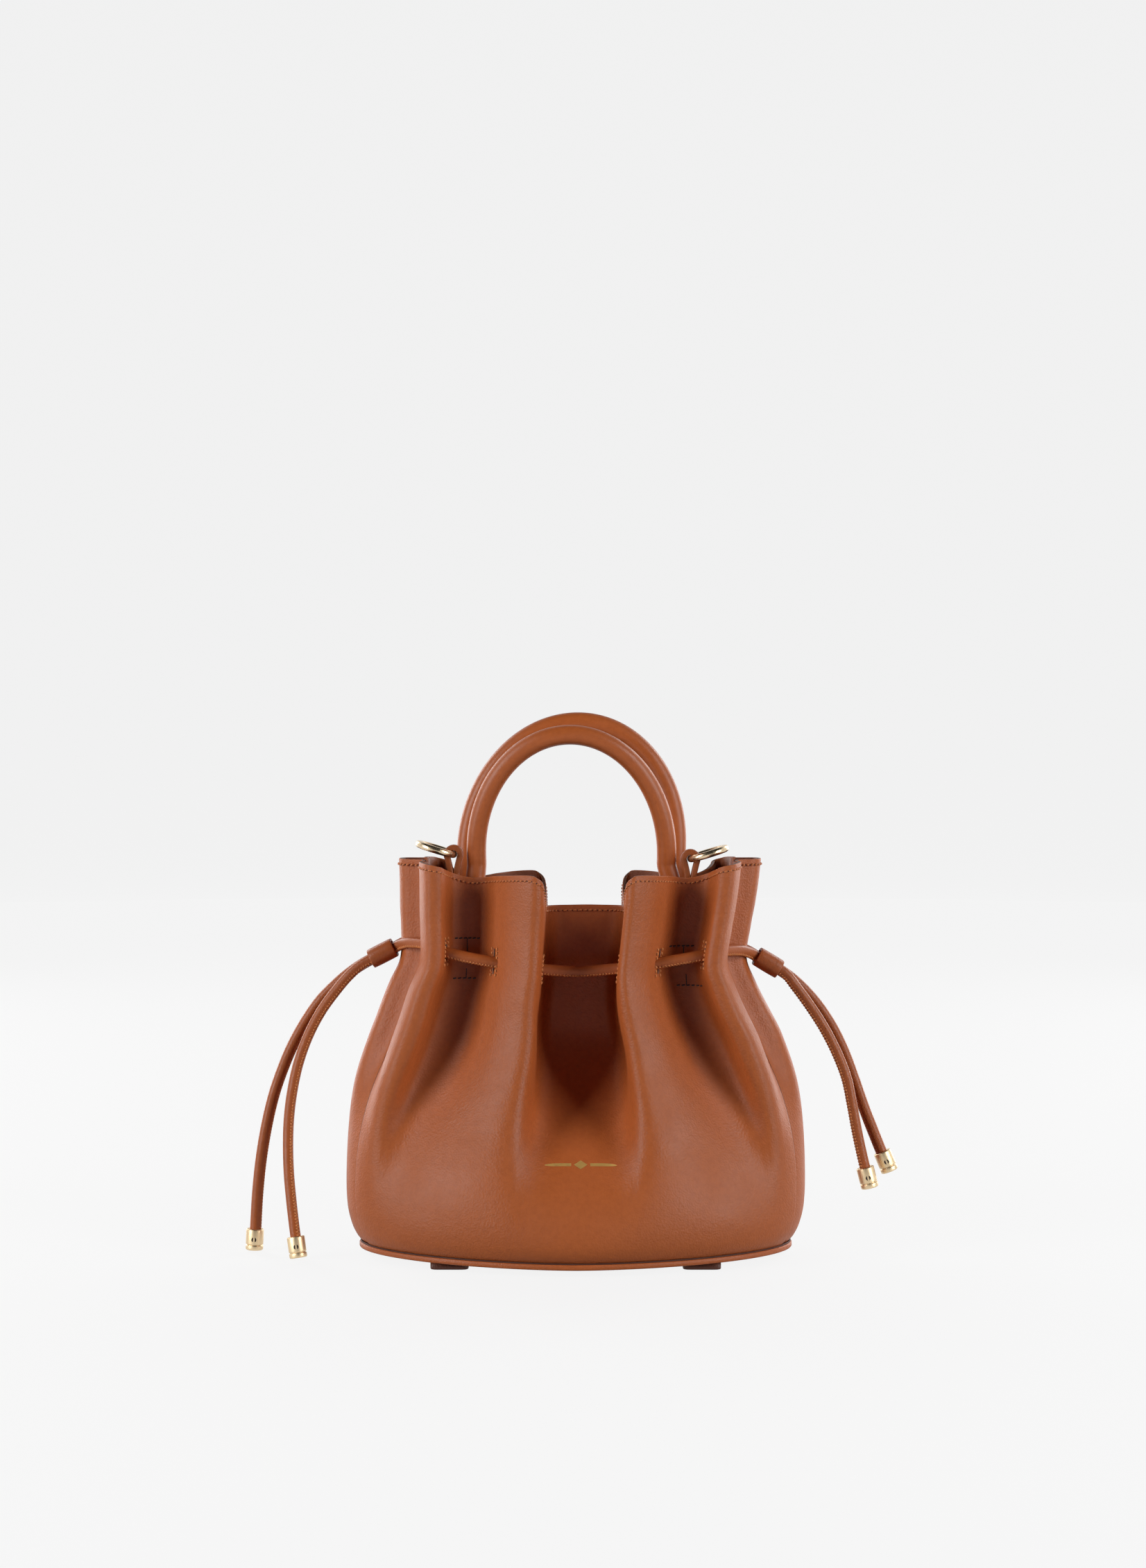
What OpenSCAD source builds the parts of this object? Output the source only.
// Leather bucket bag: an oval base, a gathered neck, two rolled handles, two strap rings and
// two drawstrings, which leave each side together through a leather keeper.
// The origin is on the ground under the middle of the body. +X is to the right as the bag is
// seen from the front, the front faces -Y, and +Z is up. Sizes are in millimetres.

/* [Body] */
// Width of the body at its widest
body_w = 211.6; // [208:0.2:214]
// Depth of the body at its deepest
body_d = 140; // [136:1:144]
// Height of the rim above the ground, at the side gussets
rim_h = 180.5; // [179:0.5:182]
// How far the rim dips from the gussets to the middle of the front and back
rim_dip = 21; // [17:0.5:22]
// How far the top of the neck stands to the right
neck_lean = 2; // [0:0.5:2.5]

/* [Leather] */
// Thickness of the outer leather
leather_t = 1.6; // [1.4:0.1:1.7]
// Thickness of the lining
lining_t = 0.6; // [0.4:0.1:0.7]
// Thickness of the base panel
base_t = 2.6; // [2:0.2:3]
// How far the base panel stands out past the body
base_lip = 0.5; // [0.5:0.1:1.5]
// Thickness of the stiffener board inside the base
board_t = 1.5; // [1:0.1:1.6]

/* [Feet] */
// Width of a foot
foot_w = 17; // [15:0.5:19]
// Depth of a foot
foot_d = 9; // [7:0.5:11]
// Height of a foot
foot_h = 3; // [2.5:0.1:3.5]
// Distance of a foot's middle from the bag's middle, across
foot_x = 56; // [50:1:60]
// Distance of a foot's middle from the bag's middle, front to back
foot_y = 42; // [38:0.5:43]

/* [Handles] */
// Outer diameter of the rolled leather
handle_dia = 8.8; // [8:0.2:9]
// Diameter of the filler rope inside
core_dia = 6; // [5.4:0.2:6.2]
// Height of the line that the handles bend about
handle_z = 178; // [177.5:0.5:180]
// Distance of that line from the middle, front to back
handle_y = 11; // [10.5:0.1:11.2]
// Forward lean of the front handle at rest, in degrees
front_lean = 14; // [8:1:18]
// Backward lean of the back handle at rest, in degrees
back_lean = 3; // [1:1:6]

/* [Rings] */
// Diameter of the ring's wire
ring_wire = 3.2; // [2.8:0.1:3.4]
// Diameter of the ring, to the middle of its wire
ring_dia = 16.4; // [15.6:0.2:17.2]
// Upward tilt of the ring at rest, in degrees
ring_tilt = 17; // [12:1:20]
// Distance of the ring's loop from the bag's middle
ring_x = 53.6; // [53.4:0.2:54.2]
// Width of the loop's strap
loop_w = 6; // [5:0.5:6]

/* [Drawstrings] */
// Diameter of a drawstring
cord_dia = 5; // [4.6:0.1:5]
// Length of a keeper
keeper_l = 12; // [10:0.5:12]
// Outside height of a keeper
keeper_h = 8.8; // [8.6:0.1:9.4]
// Outside depth of a keeper, front to back
keeper_d = 14.8; // [14.6:0.1:15.4]
// Diameter of a metal tip
tip_dia = 8; // [7.4:0.1:8.4]
// Length of a metal tip
tip_l = 9.6; // [9:0.1:9.6]

/* [Hidden] */

LEATHER = [0.66, 0.36, 0.22];
DARK = [0.30, 0.15, 0.09];
SUEDE = [0.46, 0.37, 0.26];
BRASS = [0.83, 0.66, 0.40];
BOARD = [0.55, 0.50, 0.42];

$fn = 48;

// --- The body's surface ---------------------------------------------------------------------
// A place on the body is an angle round it and a share of its height. The angle is 0 at the
// middle of the right gusset and 90 at the middle of the front. The share is 0 at the base
// seam and 1 at the rim. Each level is a blend of an oval and of the gathered neck.
body_z = foot_h + base_t;      // height of the base seam
col_deg = 10 / 3;              // angle of one grid column
seam_col = 3;                  // columns from the gusset's middle to its seam
quarter_col = 27;              // columns in a quarter of the body
oval_power = [1.22, 1.06];     // across and forward: 1 is an ellipse, more pinches the oval
base_half_d = 65;              // half depth of the body at the base seam
slit_row = 11;                 // grid row that holds the drawstring slits
slit_cols = [2, 8, 14, 20];    // columns of a quarter that hold a slit
gather = [0.03, 0.64];         // shares of the height where the gathers start and are full
soften = 12;                   // degrees over which the gathers are softened at their foot
flare_from = 0.83;             // share of the height above which the neck opens again
ROWS = [0, 0.012, 0.04, 0.10, 0.18, 0.27, 0.36, 0.45, 0.54, 0.62, 0.69, 0.745, 0.83, 0.91,
        0.993, 1];

// Neck outline over a quarter: angle, distance across, distance forward. The first and last
// rows mirror their neighbours, so that the curve runs on smoothly.
NECK = [[-5, 78, -7.5], [0, 80, 0], [5, 78, 7.5], [10, 69.5, 13], [14.5, 69.8, 25],
        [20, 66, 36], [24.5, 60, 35.5], [28.3, 58.3, 27.5], [32, 55.5, 20.5],
        [37.5, 48.5, 18.5], [43, 42, 21], [48.3, 37, 28], [53, 31.5, 35.5], [58, 24.5, 41.5],
        [61.5, 20.5, 43], [64.5, 17.6, 39.5], [68.3, 17.2, 27], [73, 17, 13], [77.5, 13, 6],
        [83, 6.5, 4.8], [90, 0, 4.5], [97, -6.5, 4.8]];
centre_shift = 3;              // how far the middle of the neck's folds stands to the right
back_dip = 3;                  // how much lower than the front's the rim is at the back's middle
// Where each angle falls on the oval, so that the folds open to the places they have lower down
SPREAD = [[-10, -16], [0, 0], [10, 16], [22, 25], [37.5, 36], [58.5, 64], [90, 90], [121.5, 116]];
// Half width of the body up its height, as a share of the widest
WIDTH = [[0, 0.930], [0.04, 0.966], [0.10, 0.991], [0.21, 1], [0.31, 0.991], [0.425, 0.958],
         [0.54, 0.894], [0.60, 0.850], [0.68, 0.791], [0.74, 0.750], [0.83, 0.758],
         [0.88, 0.768], [1, 0.783]];
// How far the body stands to the right up its height, as a share of the most
LEAN = [[0, 0], [0.54, 0], [0.68, -0.7], [0.83, 0.1], [0.94, 0.8], [1, 1]];
// Half depth of the ungathered oval up its height, as a share of the deepest
DEPTH = [[0, base_half_d / 70], [0.04, 0.965], [0.12, 0.993], [0.21, 1], [0.4, 0.96], [1, 0.88]];
// Rim height over a quarter: angle, share of the full dip
RIM = [[-10, 0], [0, 0], [10, 0.01], [20, 0.05], [28, 0.17], [37.5, 0.37], [47, 0.32],
       [58, 0.27], [61.5, 0.31], [64.5, 0.46], [67, 0.75], [70, 0.95], [73, 1], [90, 1], [100, 1]];

function unit(v) = v / norm(v);
function clamp01(u) = min(1, max(0, u));
function ease(u) = let (c = clamp01(u)) c * c * (3 - 2 * c);

// Smooth curve through the rows of a table, read at a value of its first column
function table_row(k, a, i = 0) = i >= len(k) - 2 || a < k[i + 1][0] ? i : table_row(k, a, i + 1);
function table_slope(k, i) =
    let (lo = max(i - 1, 0), hi = min(i + 1, len(k) - 1)) (k[hi] - k[lo]) / (k[hi][0] - k[lo][0]);
function table_at(k, a) =
    let (i = table_row(k, a), h = k[i + 1][0] - k[i][0], u = (a - k[i][0]) / h)
    k[i] * (1 + u * u * (2 * u - 3)) + table_slope(k, i) * h * u * (1 - u) * (1 - u)
    + k[i + 1] * u * u * (3 - 2 * u) + table_slope(k, i + 1) * h * u * u * (u - 1);

// An angle folded into the first quarter, with the signs of its sides: across and forward
function folded(a) =
    let (m = (a % 360 + 360) % 360)
    m <= 90 ? [m, 1, 1] : m <= 180 ? [180 - m, -1, 1] : m <= 270 ? [m - 180, -1, -1]
    : [360 - m, 1, -1];

function neck(a) =
    let (f = folded(a), n = table_at(NECK, f[0]))
    [f[1] * n[1] + centre_shift * pow(sin(f[0]), 4), f[2] * n[2]];

// The same, with the folds blurred over some degrees to both sides
function soft_neck(a, blur) =
    (neck(a - blur) + 2 * neck(a - blur / 2) + 3 * neck(a) + 2 * neck(a + blur / 2)
     + neck(a + blur)) / 9;

// Outline of the body at one level: [across, forward]
function outline(a, t) =
    let (f = folded(a), w = ease((t - gather[0]) / (gather[1] - gather[0])),
         n = soft_neck(a, soften * (1 - w)),
         flare = ease((t - flare_from) / (1 - flare_from)), on_oval = table_at(SPREAD, f[0])[1],
         half_w = body_w / 2 * table_at(WIDTH, t)[1], half_d = body_d / 2 * table_at(DEPTH, t)[1],
         oval_x = f[1] * pow(max(0, cos(on_oval)), oval_power[0]),
         oval_y = f[2] * pow(max(0, sin(on_oval)), oval_power[1]))
    [half_w * ((1 - w) * oval_x + w * n[0] / NECK[1][1]) + neck_lean * table_at(LEAN, t)[1],
     (1 - w) * half_d * oval_y + w * n[1] * (1 + 0.05 * flare)];

function outward(a, t) =
    let (d = outline(a + 0.5, t) - outline(a - 0.5, t)) unit([d[1], -d[0]]);

function rim_z(a) =
    rim_h - rim_dip * table_at(RIM, folded(a)[0])[1] - back_dip * pow(min(0, sin(a)), 2);

// A point on the body, sunk below the outside by depth
function body_point(a, t, depth) =
    let (p = outline(a, t) - depth * outward(a, t)) [p[0], -p[1], body_z + t * (rim_z(a) - body_z)];

// --- Grid shells ----------------------------------------------------------------------------
function quarter_cell(c) = let (f = folded((c + 0.5) * col_deg)) floor(f[0] / col_deg);
function has_slit(c, row) = row == slit_row && len(search(quarter_cell(c), slit_cols)) > 0;
function two_triangles(q) = [[q[0], q[1], q[2]], [q[0], q[2], q[3]]];

// A sheet of leather between two depths, from one grid column to another. A wrapped sheet goes
// all round and is closed by a floor, which a share of the height lifts on the inside.
module sheet(first, last, rows, depth_out, depth_in, wrapped = false, lift = 0) {
    n = last - first;
    m = len(rows) - 1;
    columns = wrapped ? n : n + 1;
    layer = columns * (m + 1);
    outer = [for (c = [0 : columns - 1], r = [0 : m])
             body_point((first + c) * col_deg, ROWS[rows[r]], depth_out)];
    inner = [for (c = [0 : columns - 1], r = [0 : m])
             body_point((first + c) * col_deg, max(ROWS[rows[r]], lift), depth_in)];
    centres = wrapped ? [[0, 0, outer[0][2]], [0, 0, inner[0][2]]] : [];
    function id(c, r, side) = side * layer + (c % columns) * (m + 1) + r;
    function filled(c, r) = r >= 0 && r < m && (wrapped || (c >= 0 && c < n))
        && !has_slit(first + (c + n) % n, rows[r]);
    function wall(c, r, cc, rr) =
        two_triangles([id(cc, rr, 0), id(c, r, 0), id(c, r, 1), id(cc, rr, 1)]);
    cells = [for (c = [0 : n - 1], r = [0 : m - 1]) if (filled(c, r)) [c, r]];
    faces = [for (k = cells) let (c = k[0], r = k[1], d = c + 1, s = r + 1) each concat(
        [[id(c, r, 0), id(d, r, 0), id(d, s, 0)], [id(c, r, 0), id(d, s, 0), id(c, s, 0)],
         [id(c, r, 1), id(d, s, 1), id(d, r, 1)], [id(c, r, 1), id(c, s, 1), id(d, s, 1)]],
        filled(c, s) ? [] : wall(d, s, c, s),
        filled(c, r - 1) || (wrapped && r == 0) ? [] : wall(c, r, d, r),
        filled(c + 1, r) ? [] : wall(d, r, d, s),
        filled(c - 1, r) ? []
        : two_triangles([id(c, s, 0), id(c, s, 1), id(c, r, 1), id(c, r, 0)]))];
    floors = wrapped ? [for (c = [0 : n - 1]) each
        [[id(c + 1, 0, 0), id(c, 0, 0), 2 * layer], [id(c, 0, 1), id(c + 1, 0, 1), 2 * layer + 1]]]
        : [];
    polyhedron(concat(outer, inner, centres), concat(faces, floors), convexity = 12);
}

all_rows = [for (r = [0 : len(ROWS) - 1]) r];
lining_rows = [for (r = [1 : len(ROWS) - 2]) r];
lining_gap = 0.15;
lining_lift = 0.016;

module front_panel() {
    color(LEATHER)
        sheet(seam_col, 2 * quarter_col - seam_col, all_rows, 0, leather_t);
}

module back_panel() {
    color(LEATHER)
        sheet(2 * quarter_col + seam_col, 4 * quarter_col - seam_col, all_rows, 0, leather_t);
}

module gusset_left() {
    color(LEATHER)
        sheet(2 * quarter_col - seam_col, 2 * quarter_col + seam_col, all_rows, 0, leather_t);
}

module gusset_right() {
    color(LEATHER)
        sheet(-seam_col, seam_col, all_rows, 0, leather_t);
}

module lining() {
    color(SUEDE)
        sheet(0, 4 * quarter_col, lining_rows, leather_t + lining_gap,
              leather_t + lining_gap + lining_t, true, lining_lift);
}

// --- Base -----------------------------------------------------------------------------------
base_half_w = body_w / 2 * WIDTH[0][1];
board_inset = 4;
board_gap = 0.05;

module oval(half_w, half_d, steps = 72) {
    polygon([for (i = [0 : steps - 1]) let (a = i * 360 / steps, c = cos(a), s = sin(a))
             [half_w * sign(c) * pow(abs(c), oval_power[0]),
              half_d * sign(s) * pow(abs(s), oval_power[1])]]);
}

module base_panel() {
    color(LEATHER)
        translate([0, 0, foot_h])
            linear_extrude(base_t)
                oval(base_half_w + base_lip, base_half_d * body_d / 140 + base_lip);
}

module base_board() {
    color(BOARD)
        translate([0, 0, body_z + board_gap])
            linear_extrude(board_t)
                oval(base_half_w - board_inset, base_half_d * body_d / 140 - board_inset);
}

foot_corner = 1.5;

module foot(side, end) {
    color(DARK)
        translate([side * foot_x, end * foot_y, 0])
            linear_extrude(foot_h) {
                square([foot_w - 2 * foot_corner, foot_d], center = true);
                square([foot_w, foot_d - 2 * foot_corner], center = true);
                for (i = [-1, 1], j = [-1, 1])
                    translate([i * (foot_w / 2 - foot_corner), j * (foot_d / 2 - foot_corner)])
                        circle(foot_corner);
            }
}

// --- Swept tubes ----------------------------------------------------------------------------
function tangent(p, i) = unit(p[min(i + 1, len(p) - 1)] - p[max(i - 1, 0)]);

// Points round each place of a path; the rings' first radius lies square to the Y axis
function rings(p, r, sides) =
    [for (i = [0 : len(p) - 1]) let (t = tangent(p, i), n = unit(cross([0, 1, 0], t)),
                                     b = cross(t, n))
     for (k = [0 : sides - 1]) p[i] + r * (cos(k * 360 / sides) * n + sin(k * 360 / sides) * b)];

// A closed solid on m rings of points, with a flat cap at each end
module skin(points, m, sides) {
    function id(i, k) = i * sides + k % sides;
    walls = [for (i = [0 : m - 2], k = [0 : sides - 1]) each
        two_triangles([id(i, k), id(i + 1, k), id(i + 1, k + 1), id(i, k + 1)])];
    caps = [[for (k = [0 : sides - 1]) k], [for (k = [sides - 1 : -1 : 0]) id(m - 1, k)]];
    polyhedron(points, concat(walls, caps), convexity = 8);
}

// A round solid bar along a path
module bar(p, r, sides) {
    skin(rings(p, r, sides), len(p), sides);
}

// A round tube along a path
module tube(p, r, hollow_r, sides) {
    m = len(p);
    layer = m * sides;
    function id(i, k, side) = side * layer + i * sides + k % sides;
    outside = [for (i = [0 : m - 2], k = [0 : sides - 1]) each
        two_triangles([id(i, k, 0), id(i + 1, k, 0), id(i + 1, k + 1, 0), id(i, k + 1, 0)])];
    inside = [for (i = [0 : m - 2], k = [0 : sides - 1]) each
        two_triangles([id(i, k, 1), id(i, k + 1, 1), id(i + 1, k + 1, 1), id(i + 1, k, 1)])];
    annuli = [for (k = [0 : sides - 1]) each concat(
        two_triangles([id(0, k, 0), id(0, k + 1, 0), id(0, k + 1, 1), id(0, k, 1)]),
        two_triangles([id(m - 1, k, 1), id(m - 1, k + 1, 1), id(m - 1, k + 1, 0),
                       id(m - 1, k, 0)]))];
    polyhedron(concat(rings(p, r, sides), rings(p, hollow_r, sides)),
               concat(outside, inside, annuli), convexity = 8);
}

// --- Handles --------------------------------------------------------------------------------
// A handle is a half ellipse on two short straight legs, in its own plane. Each has a half span,
// the curve's height, a leg's length, and how far it stands and then leans to the right.
front_arch = [43, 54.8, 6, -1.8, -0.012];
back_arch = [48.3, 58, 6.7, -2.2, 0.05];
arch_step = 9;
core_clear = 0.1;
core_end = 1.2;                 // how far the filler stands out of the leather at each end
tab_gap = 0.4;                  // clearance between a handle's end and its tab
tab_l = 45;
tab_t = 3.3;
tab_w = 11;
tab_round_l = 15;
tab_taper_l = 8;
tab_y = 14.05;                  // middle of the flat part of a tab, front to back
tab_square = 0.3;               // power that squares the flat part's outline

function leaned(arch, x, up) = [arch[3] + x + arch[4] * up, 0, up];

function arch_path(arch, extra) = concat(
    [leaned(arch, arch[0], -extra), leaned(arch, arch[0], arch[2] / 2)],
    [for (a = [0 : arch_step : 180])
     leaned(arch, arch[0] * cos(a), arch[2] + arch[1] * sin(a))],
    [leaned(arch, -arch[0], arch[2] / 2), leaned(arch, -arch[0], -extra)]);

module at_handle_line(end, lean) {
    translate([0, end * handle_y, handle_z])
        rotate([-end * lean, 0, 0])
            children();
}

module handle(arch, end, lean) {
    color(LEATHER)
        at_handle_line(end, lean)
            tube(arch_path(arch, 0), handle_dia / 2, core_dia / 2 + core_clear, 12);
}

module handle_core(arch, end, lean) {
    color(SUEDE)
        at_handle_line(end, lean)
            bar(arch_path(arch, core_end), core_dia / 2, 8);
}

module handle_front() {
    handle(front_arch, -1, front_lean);
}

module handle_back() {
    handle(back_arch, 1, back_lean);
}

module handle_core_front() {
    handle_core(front_arch, -1, front_lean);
}

module handle_core_back() {
    handle_core(back_arch, 1, back_lean);
}

// A level slice of a tab, from a circle at power 1 towards a rectangle at power 0
tab_sides = 24;
function tab_slice(mid, half, power, z) =
    [for (k = [0 : tab_sides - 1]) let (c = cos(k * 360 / tab_sides), s = sin(k * 360 / tab_sides))
     [mid[0] + half[0] * sign(c) * pow(abs(c), power),
      mid[1] + half[1] * sign(s) * pow(abs(s), power), z]];

// The fixed end of a handle: round at the top, flat where it is sewn to the inside of the neck
module handle_tab(x, end, flat_x) {
    top = handle_z - handle_dia / 2 - tab_gap;
    flat_top = top - tab_round_l - tab_taper_l;
    neck_x = x + (flat_x - x) * tab_round_l / (tab_round_l + tab_taper_l);
    flat_mid = [flat_x, end * tab_y];
    r = handle_dia / 2 - 0.1;
    flat_half = [tab_w, tab_t] / 2;
    color(LEATHER)
        skin(concat(tab_slice(flat_mid, flat_half, tab_square, top - tab_l),
                    tab_slice(flat_mid, flat_half, tab_square, flat_top),
                    tab_slice([neck_x, end * handle_y], [r, r], 1, top - tab_round_l),
                    tab_slice([x, end * handle_y], [r, r], 1, top)), 4, tab_sides);
}

front_flat_x = [-47.3, 48.3];   // middles of the flat parts of the front tabs

// --- Strap rings ----------------------------------------------------------------------------
// Where the wire passes through the left and the right loop: the rings hang a little to the left
ring_at = [[-ring_x - 1.6, -14, 182.8], [ring_x - 1.6, -13.45, 180.8]];
loop_t = 1.6;
loop_r = 4;                     // outer radius of the loop's top
loop_neck_l = 11;               // how far its sides run together below the wire
loop_l = 22.5;                   // length of the loop below the wire

module ring(i) {
    side = 2 * i - 1;
    color(BRASS)
        translate(ring_at[i])
            rotate([0, -side * ring_tilt, 0])
                translate([side * ring_dia / 2, 0, 0])
                    rotate_extrude()
                        translate([ring_dia / 2, 0])
                            circle(d = ring_wire);
}

module ring_loop(i) {
    slot_r = loop_r - loop_t;
    color(LEATHER)
        translate(ring_at[i] + [0, loop_w / 2, 0])
            rotate([90, 0, 0])
                linear_extrude(loop_w)
                    difference() {
                        union() {
                            circle(loop_r);
                            polygon([[-loop_r, 0], [-loop_t, -loop_neck_l], [-loop_t, -loop_l],
                                     [loop_t, -loop_l], [loop_t, -loop_neck_l], [loop_r, 0]]);
                        }
                        circle(slot_r);
                        polygon([[-slot_r, 0], [0, 2 - loop_neck_l], [slot_r, 0]]);
                    }
}

// --- Magnetic snap --------------------------------------------------------------------------
snap_z = 148;
snap_r = 7;
snap_stud_r = 2.6;
snap_face = 2.05;               // distance of a snap's back from the bag's middle
snap_front_t = 1.2;
snap_back_t = 2;

module facing_back() {
    translate([centre_shift, 0, snap_z])
        rotate([-90, 0, 0])
            children();
}

module snap_front() {
    color(BRASS)
        facing_back() {
            translate([0, 0, -snap_face])
                cylinder(r = snap_r, h = snap_front_t);
            translate([0, 0, -snap_face])
                cylinder(r = snap_stud_r, h = snap_front_t + 1.5);
        }
}

module snap_back() {
    color(BRASS)
        facing_back()
            difference() {
                translate([0, 0, snap_face - snap_back_t])
                    cylinder(r = snap_r, h = snap_back_t);
                translate([0, 0, snap_face - snap_back_t - 1])
                    cylinder(r = snap_stud_r + 0.4, h = snap_back_t);
            }
}

// --- Drawstrings ----------------------------------------------------------------------------
// Each route runs from its left tip, up through the left keeper, in and out of the folds, and
// down through the right keeper to its right tip.
FRONT_ROUTE = [
    [-125.5, -20.7, 4], [-127, -19.3, 14], [-128.6, -17, 26], [-129.9, -14.5, 38],
    [-130.5, -12, 50], [-130.3, -9.8, 62], [-129, -8, 74], [-126.3, -6.4, 87], [-121.9, -5, 99.5],
    [-116, -4, 110.8], [-109.2, -3.2, 120.2], [-103.2, -2.85, 127.2], [-97, -2.75, 132.4],
    [-88, -2.75, 137.1], [-82.8, -2.8, 139.7], [-79, -5.2, 141.6], [-74.5, -10.5, 142.6],
    [-67, -19, 142.4], [-59, -27, 140], [-49, -28.5, 137.6], [-38.5, -28, 135.6], [-27, -27, 133.6],
    [-15, -25, 131.8], [0, -24, 130.8], [15, -25, 131.8], [27, -27, 133.4], [38.5, -28, 135.2],
    [49, -28.5, 137], [59, -27, 138.6], [67, -19, 139.6], [74.5, -10.5, 139.2], [79, -5.2, 137.8],
    [82.8, -2.8, 135.7], [88, -2.75, 132.6], [95.5, -2.75, 128.1], [100.3, -2.9, 122.2],
    [107, -3.4, 113], [113.4, -4, 103], [119, -4.8, 92], [123.4, -5.4, 80.5], [126, -6, 68],
    [128.2, -6.4, 56], [130.8, -6.6, 44], [133.4, -6.7, 33.5]];
BACK_ROUTE = [
    [-147.1, 0.4, 4], [-146.6, 0.5, 15], [-145.8, 0.7, 28], [-144.2, 1, 43], [-141.7, 1.4, 58],
    [-138.4, 1.9, 72], [-134.3, 2.3, 84], [-129.6, 2.6, 95], [-123.7, 2.75, 105.6],
    [-117.2, 2.75, 115], [-109.8, 2.75, 122.6], [-103.2, 2.75, 128.2], [-97, 2.75, 132.4],
    [-88, 2.75, 137.1], [-82.8, 2.8, 139.7], [-79, 5.2, 141.6], [-74.5, 10.5, 142.6],
    [-67, 19, 142.4], [-59, 27, 140], [-49, 28.5, 137.6], [-38.5, 28, 135.6], [-27, 27, 133.6],
    [-15, 25, 131.8], [0, 24, 130.8], [15, 25, 131.8], [27, 27, 133.4], [38.5, 28, 135.2],
    [49, 28.5, 137], [59, 27, 138.6], [67, 19, 139.6], [74.5, 10.5, 139.2], [79, 5.2, 137.8],
    [82.8, 2.8, 135.7], [88, 2.75, 132.6], [95.5, 2.75, 128.1], [102.8, 2.75, 122.2],
    [110.4, 2.7, 113.8], [117, 2.5, 104], [122.5, 2.3, 93], [127.3, 2, 80.4], [132.3, 1.6, 66],
    [137.8, 1.3, 52], [142.8, 1, 39.8]];

module drawstring_front() {
    color(LEATHER)
        bar(FRONT_ROUTE, cord_dia / 2, 10);
}

module drawstring_back() {
    color(LEATHER)
        bar(BACK_ROUTE, cord_dia / 2, 10);
}

// Keepers: each is a flat oval tube round both drawstrings
keeper_drop = [27, 31];         // slope of the left and right keeper, in degrees
keeper_at = [[-82.8, 0, 139.75], [82.8, 0, 135.7]];
keeper_slot = [6, 12];          // inside height and depth

module stadium(h, d) {
    square([h, d - h], center = true);
    for (i = [-1, 1])
        translate([0, i * (d - h) / 2])
            circle(d = h);
}

module keeper(i) {
    side = 2 * i - 1;
    color(LEATHER)
        translate(keeper_at[i])
            rotate([0, side * (90 + keeper_drop[i]), 0])
                linear_extrude(keeper_l)
                    difference() {
                        stadium(keeper_h, keeper_d);
                        stadium(keeper_slot[0], keeper_slot[1]);
                    }
}

// Metal tips: each is a cap with a grooved end and a small screw in its side
tip_bore_l = 7;                 // depth of the blind hole
tip_cord_l = 6.5;               // how far the drawstring goes in
tip_screw_at = 4.6;             // distance of the screw from the tip's mouth
tip_screw_r = 1;
groove_from = 7.1;
groove_depth = 0.3;

// Puts its children's +Z along the last stretch of a route, with the origin at the tip's mouth
module at_route_end(last, before) {
    d = unit(last - before);
    translate(last - tip_cord_l * d)
        rotate([0, acos(d[2]), atan2(d[1], d[0])])
            children();
}

// The screw's axis, turned to face forward
module at_screw(last, before) {
    d = unit(last - before);
    translate([0, 0, tip_screw_at])
        rotate([0, 0, 270 - atan2(d[1], d[0])])
            rotate([0, 90, 0])
                children();
}

module tip_body() {
    r = tip_dia / 2;
    g = groove_depth;
    bore_r = cord_dia / 2 + 0.05;
    rotate_extrude()
        polygon([[bore_r, 0], [r - g, 0], [r, g], [r, groove_from], [r - g, groove_from + g / 2],
                 [r - g, groove_from + g], [r, groove_from + 1.5 * g], [r, tip_l - 0.5],
                 [r - 0.5, tip_l], [0, tip_l], [0, tip_bore_l], [bore_r, tip_bore_l]]);
}

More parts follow.
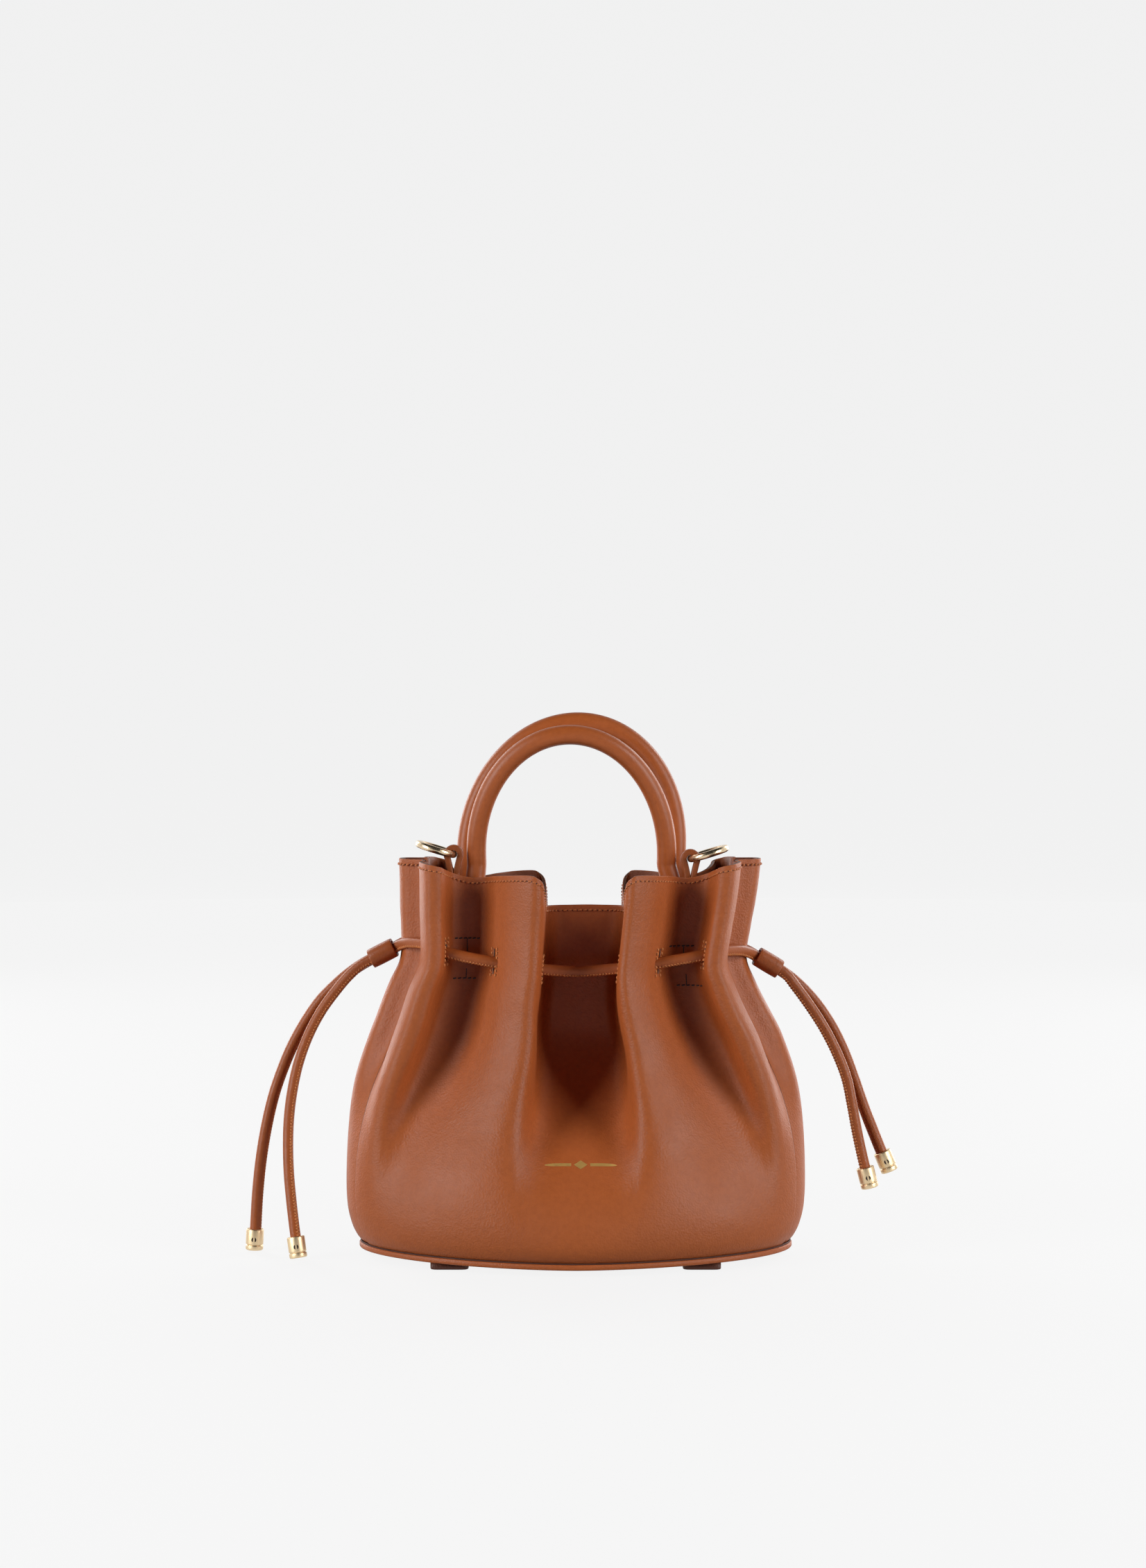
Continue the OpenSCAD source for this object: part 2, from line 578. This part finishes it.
module tip(last, before) {
    color(BRASS)
        at_route_end(last, before)
            difference() {
                tip_body();
                at_screw(last, before)
                    cylinder(r = tip_screw_r + 0.05, h = tip_dia);
            }
}

module tip_screw(last, before) {
    color(BRASS)
        at_route_end(last, before)
            at_screw(last, before)
                translate([0, 0, cord_dia / 2 + 0.1])
                    cylinder(r = tip_screw_r, h = tip_dia / 2 - cord_dia / 2 - 0.4);
}

tip_ends = [[FRONT_ROUTE[0], FRONT_ROUTE[1]], [BACK_ROUTE[0], BACK_ROUTE[1]],
            [FRONT_ROUTE[len(FRONT_ROUTE) - 1], FRONT_ROUTE[len(FRONT_ROUTE) - 2]],
            [BACK_ROUTE[len(BACK_ROUTE) - 1], BACK_ROUTE[len(BACK_ROUTE) - 2]]];

module tip_screws() {
    for (e = tip_ends)
        tip_screw(e[0], e[1]);
}

front_panel();
back_panel();
gusset_left();
gusset_right();
lining();
base_panel();
base_board();
foot(-1, -1);  // foot_front_left
foot(1, -1);  // foot_front_right
foot(-1, 1);  // foot_back_left
foot(1, 1);  // foot_back_right
handle_front();
handle_back();
handle_core_front();
handle_core_back();
handle_tab(front_arch[3] - front_arch[0], -1, front_flat_x[0]);  // handle_tab_front_left
handle_tab(front_arch[3] + front_arch[0], -1, front_flat_x[1]);  // handle_tab_front_right
handle_tab(back_arch[3] - back_arch[0], 1, back_arch[3] - back_arch[0]);  // handle_tab_back_left
handle_tab(back_arch[3] + back_arch[0], 1, back_arch[3] + back_arch[0]);  // handle_tab_back_right
ring(0);  // ring_left
ring(1);  // ring_right
ring_loop(0);  // ring_loop_left
ring_loop(1);  // ring_loop_right
snap_front();
snap_back();
drawstring_front();
drawstring_back();
keeper(0);  // keeper_left
keeper(1);  // keeper_right
tip(tip_ends[0][0], tip_ends[0][1]);  // tip_left_front
tip(tip_ends[1][0], tip_ends[1][1]);  // tip_left_back
tip(tip_ends[2][0], tip_ends[2][1]);  // tip_right_front
tip(tip_ends[3][0], tip_ends[3][1]);  // tip_right_back
tip_screws();
